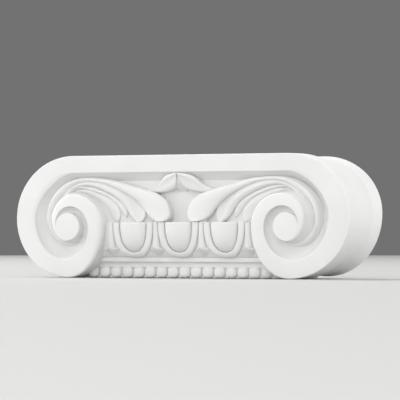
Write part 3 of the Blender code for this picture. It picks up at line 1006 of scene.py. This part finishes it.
@dataclass(frozen=True)
class EndMouldings:
    """The block behind the face, with the groove, the round and the plain part that run round its ends.

    The profile holds how far inside the band's outline the block's surface lies, and at which depth behind
    the band's face.
    """

    scroll: Scroll
    profile: tuple[Pair, ...] = (
        (0.00230, 0.0098), (0.00230, 0.0150), (0.00230, 0.0169), (0.00215, 0.0172), (0.00185, 0.0174),
        (0.00165, 0.0180), (0.00155, 0.0200), (0.00150, 0.0240), (0.00150, 0.0290), (0.00160, 0.0335),
        (0.00180, 0.0370), (0.00205, 0.0395), (0.00225, 0.0412), (0.00222, 0.0425), (0.00205, 0.0450),
        (0.00180, 0.0480), (0.00158, 0.0510), (0.00144, 0.0535), (0.00140, 0.0552), (0.00150, 0.0558),
        (0.00180, 0.0560))

    def build(self) -> list[Solid]:
        """Make the block through outlines that step inwards and out again towards the wall.

        Returns:
            The closed block, alone in a list.
        """
        y = self.scroll.block.front_y
        outlines = [[(x, y + depth, z) for x, z in self.scroll.outline(inset, depth)]
                    for inset, depth in self.profile]
        return [loft("end_mouldings", np.array(outlines))]


def linear(code: str) -> tuple[float, float, float, float]:
    """Turn an sRGB hex colour into linear light.

    Args:
        code: six hex digits after a #.

    Returns:
        Red, green, blue and alpha.
    """
    parts = [int(code[i:i + 2], 16) / 255 for i in (1, 3, 5)]
    red, green, blue = (p / 12.92 if p <= 0.04045 else ((p + 0.055) / 1.055) ** 2.4 for p in parts)
    return (red, green, blue, 1.0)


def node(tree: bpy.types.NodeTree, kind: str, settings: dict[str, object],
         links: dict[str, bpy.types.NodeSocket] | None = None) -> bpy.types.Node:
    """Add a shader node.

    Args:
        tree: the material's or world's node tree.
        kind: Blender's name of the node type.
        settings: values by attribute or by socket name; attributes come first.
        links: sockets that feed its inputs, by input name.

    Returns:
        The new node.
    """
    made = tree.nodes.new(kind)
    for name, value in settings.items():
        if hasattr(made, name):
            setattr(made, name, value)
        else:
            made.inputs[name].default_value = value
    for name, socket in (links or {}).items():
        tree.links.new(socket, made.inputs[name])
    return made


@dataclass(frozen=True)
class SprayedPrimer:
    """Matt white factory primer sprayed on polyurethane that was moulded in a silicone tool.

    The spray dries to a very fine orange peel, which keeps highlights wide and dull, and the foam's skin
    under it is a little uneven, so long flat faces aren't quite even in tone.
    """

    white: str = "#DEDEDD"
    shadow_white: str = "#D9D9D8"
    roughness: float = 0.60
    roughness_spread: float = 0.05
    ior: float = 1.47              # acrylic primer
    specular: float = 0.35
    peel_mm: float = 1.1           # from one bump of the orange peel to the next
    peel_strength: float = 0.20
    peel_height: float = 0.00008
    grain_mm: float = 0.35         # overspray grit, drawn coarser than real so that it shows
    grain_strength: float = 0.15
    grain_height: float = 0.00003
    wave_mm: float = 38.0          # slow unevenness of the moulded skin
    noise_span: Pair = (0.3, 0.7)  # where nearly all values of a noise lie

    def make(self) -> bpy.types.Material:
        """Build the node material.

        Returns:
            The material.
        """
        paint = bpy.data.materials.new("sprayed_white_primer")
        paint.use_nodes = True
        tree = paint.node_tree
        shader = tree.nodes["Principled BSDF"]
        where = node(tree, "ShaderNodeTexCoord", {}).outputs["Object"]
        peel, grain, wave = (node(tree, "ShaderNodeTexNoise", settings, {"Vector": where}) for settings in (
            {"Scale": 1000 / self.peel_mm, "Detail": 2.0, "Roughness": 0.45},
            {"Scale": 1000 / self.grain_mm, "Detail": 1.0},
            {"Scale": 1000 / self.wave_mm, "Detail": 2.0}))
        span = dict(zip(("From Min", "From Max"), self.noise_span))
        tint = node(tree, "ShaderNodeMapRange", span, {"Value": wave.outputs["Fac"]})
        colour = node(tree, "ShaderNodeMix", {"data_type": "RGBA"})
        share, low, high, mixed = colour.inputs[0], colour.inputs[6], colour.inputs[7], colour.outputs[2]
        low.default_value, high.default_value = linear(self.shadow_white), linear(self.white)
        tree.links.new(tint.outputs["Result"], share)
        tree.links.new(mixed, shader.inputs["Base Color"])
        dull = node(tree, "ShaderNodeMapRange", {**span, "To Min": self.roughness - self.roughness_spread,
                                                 "To Max": self.roughness + self.roughness_spread},
                    {"Value": peel.outputs["Fac"]})
        tree.links.new(dull.outputs["Result"], shader.inputs["Roughness"])
        soft = node(tree, "ShaderNodeBump", {"Strength": self.peel_strength, "Distance": self.peel_height},
                    {"Height": peel.outputs["Fac"]})
        grit = node(tree, "ShaderNodeBump", {"Strength": self.grain_strength, "Distance": self.grain_height},
                    {"Height": grain.outputs["Fac"], "Normal": soft.outputs["Normal"]})
        tree.links.new(grit.outputs["Normal"], shader.inputs["Normal"])
        shader.inputs["IOR"].default_value = self.ior
        shader.inputs["Metallic"].default_value = 0.0
        shader.inputs["Specular IOR Level"].default_value = self.specular
        return paint


@dataclass(frozen=True)
class PaleFloor:
    """Plain pale floor paint, rolled on, which dries dull and even with a faint stipple."""

    grey: str = "#B6B6B5"
    roughness: float = 0.85
    roller_mm: float = 3.0
    stipple_strength: float = 0.05
    stipple_height: float = 0.0001

    def make(self) -> bpy.types.Material:
        """Build the node material.

        Returns:
            The material.
        """
        paint = bpy.data.materials.new("pale_floor")
        paint.use_nodes = True
        tree = paint.node_tree
        shader = tree.nodes["Principled BSDF"]
        where = node(tree, "ShaderNodeTexCoord", {}).outputs["Object"]
        roller = node(tree, "ShaderNodeTexNoise", {"Scale": 1000 / self.roller_mm}, {"Vector": where})
        bump = node(tree, "ShaderNodeBump",
                    {"Strength": self.stipple_strength, "Distance": self.stipple_height},
                    {"Height": roller.outputs["Fac"]})
        tree.links.new(bump.outputs["Normal"], shader.inputs["Normal"])
        shader.inputs["Base Color"].default_value = linear(self.grey)
        shader.inputs["Roughness"].default_value = self.roughness
        return paint


class SubAssembly(Protocol):
    """Anything carved or run on the capital that makes its own closed solids."""

    def build(self) -> list[Solid]:
        """Make the closed solids."""


@dataclass(frozen=True)
class Capital:
    """The whole capital: its sub-assemblies joined into one moulded piece."""

    block: Block = Block()
    sharp_angle: float = 32.0      # creases steeper than this stay crisp
    face_weight: int = 50          # how evenly face sizes and corners shade

    def sub_assemblies(self) -> tuple[SubAssembly, ...]:
        """Lay out the sub-assemblies on one scroll.

        Returns:
            The sub-assemblies, in the order in which they are joined.
        """
        scroll = Scroll(self.block)
        ovolo = Ovolo(scroll)
        beads = BeadRow(ShaftHead(ovolo))
        return (EndMouldings(scroll), VoluteBand(scroll), EyeDisc(scroll), Acanthus(scroll),
                EggAndDart(ovolo), Fillet(beads), beads)

    def join(self, solids: list[Solid]) -> Solid:
        """Unite closed solids into one.

        Args:
            solids: the solids; all but the first are taken up.

        Returns:
            The first one with the rest united to it.
        """
        body, rest = solids[0], solids[1:]
        others = bpy.data.collections.new("joined_carving")
        bpy.context.scene.collection.children.link(others)
        for solid in rest:
            bpy.context.scene.collection.objects.unlink(solid)
            others.objects.link(solid)
        union = body.modifiers.new("join", "BOOLEAN")
        union.operation = "UNION"
        union.solver = "MANIFOLD"
        union.operand_type = "COLLECTION"
        union.collection = others
        held = body.evaluated_get(bpy.context.evaluated_depsgraph_get())
        mesh = bpy.data.meshes.new_from_object(held)
        body.modifiers.clear()
        body.data = mesh
        for solid in rest:
            bpy.data.objects.remove(solid, do_unlink=True)
        bpy.data.collections.remove(others)
        return body

    def build(self, finish: SprayedPrimer) -> Solid:
        """Make, join and dress the capital.

        Args:
            finish: the paint it is sprayed with.

        Returns:
            The finished piece.
        """
        solids: list[Solid] = []
        for part in self.sub_assemblies():
            made = part.build()
            log.info("%s: %d solids, %d faces", type(part).__name__, len(made),
                     sum(len(solid.data.polygons) for solid in made))
            solids += made
        body = self.join(solids)
        body.name = body.data.name = "capital_moulding"
        body.data.materials.clear()
        body.data.materials.append(finish.make())
        body.data.shade_smooth()
        body.data.set_sharp_from_angle(angle=math.radians(self.sharp_angle))
        even = body.modifiers.new("even shading", "WEIGHTED_NORMAL")
        even.keep_sharp = True
        even.weight = self.face_weight
        body.data.calc_loop_triangles()
        log.info("capital_moulding: %d triangles", len(body.data.loop_triangles))
        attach(body, "root")
        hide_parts("capital")
        return body


@dataclass(frozen=True)
class Softbox:
    """A square soft light that faces the object, placed by degrees round it and above the floor."""

    name: str
    azimuth: float                 # 0 straight before the face, positive to its right
    elevation: float
    power: float
    away: float = 3.0
    size: float = 1.9

    def hang(self) -> None:
        """Hang the light, unseen by the camera itself."""
        a, e = math.radians(self.azimuth), math.radians(self.elevation)
        data = bpy.data.lights.new(self.name, "AREA")
        data.shape = "SQUARE"
        data.size = self.size
        data.energy = self.power
        made = bpy.data.objects.new(self.name, data)
        made.location = (self.away * math.sin(a) * math.cos(e), -self.away * math.cos(a) * math.cos(e),
                         self.away * math.sin(e))
        made.rotation_euler = (math.pi / 2 - e, 0.0, a)
        made.visible_camera = False
        bpy.context.scene.collection.objects.link(made)


@dataclass(frozen=True)
class Studio:
    """Pale floor, soft light from all round and above, and the camera at the photograph's angle."""

    block: Block
    turn: float = 30.0             # camera round the object, in degrees
    pitch: float = 0.633           # how far it looks up, in degrees
    lens: float = 289.27
    sensor: float = 36.0
    distance: float = 2.41782      # along the line of sight to the band's face
    aside: float = 0.016315        # the middle of the face left of the line of sight
    eye_level: float = 0.03208
    far_clip: float = 50.0
    backdrop: str = "#727272"
    floor_radius: float = 2.8
    floor_sides: int = 120
    floor_gap: float = 0.0002      # keeps the floor clear of the capital's underside
    lights: tuple[Softbox, ...] = (
        Softbox("left_softbox", -80.0, 8.0, 43.8), Softbox("front_left_softbox", -45.0, 8.0, 22.3),
        Softbox("front_softbox", -5.0, 8.0, 21.5), Softbox("camera_side_softbox", 30.0, 8.0, 23.2),
        Softbox("right_fill", 70.0, 8.0, 16.7), Softbox("right_softbox", 110.0, 8.0, 41.9),
        Softbox("high_back_left_softbox", -115.0, 48.0, 68.9), Softbox("high_left_fill", -80.0, 48.0, 20.5),
        Softbox("high_front_fill", 12.0, 46.0, 26.1), Softbox("high_right_fill", 92.0, 48.0, 28.8))

    def camera(self) -> None:
        """Stand the camera where the photograph was taken from."""
        turn = math.radians(self.turn)
        right = np.array((math.cos(turn), math.sin(turn), 0.0))
        ahead = np.array((-math.sin(turn), math.cos(turn), 0.0))
        face = np.array((0.0, self.block.front_y, self.eye_level))
        data = bpy.data.cameras.new("camera")
        data.lens = self.lens
        data.sensor_width = self.sensor
        data.dof.use_dof = False
        data.clip_end = self.far_clip
        made = bpy.data.objects.new("camera", data)
        made.location = face + right * self.aside - ahead * self.distance
        made.rotation_euler = (math.radians(90 + self.pitch), 0.0, turn)
        bpy.context.scene.collection.objects.link(made)
        bpy.context.scene.camera = made

    def build(self) -> None:
        """Set up the floor, the lights, the backdrop and the camera."""
        corners = np.linspace(0, 2 * math.pi, self.floor_sides, endpoint=False)
        rim = [(self.floor_radius * math.cos(a), self.floor_radius * math.sin(a), 0.0) for a in corners]
        floor = keep("floor", np.array(rim), [tuple(range(self.floor_sides))])
        floor.location.z = -self.floor_gap
        floor.data.materials.append(PaleFloor().make())
        world = bpy.data.worlds.new("studio")
        world.use_nodes = True
        back = world.node_tree.nodes["Background"]
        back.inputs["Color"].default_value = linear(self.backdrop)
        back.inputs["Strength"].default_value = 1.0
        bpy.context.scene.world = world
        for light in self.lights:
            light.hang()
        self.camera()
        bpy.context.scene.view_settings.view_transform = "Standard"


def main() -> None:
    """Build the capital and the studio."""
    logging.basicConfig(level=logging.INFO, format="%(name)s: %(message)s")
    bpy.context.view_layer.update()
    capital = Capital()
    capital.build(SprayedPrimer())
    Studio(capital.block).build()


if __name__ == "__main__":
    main()
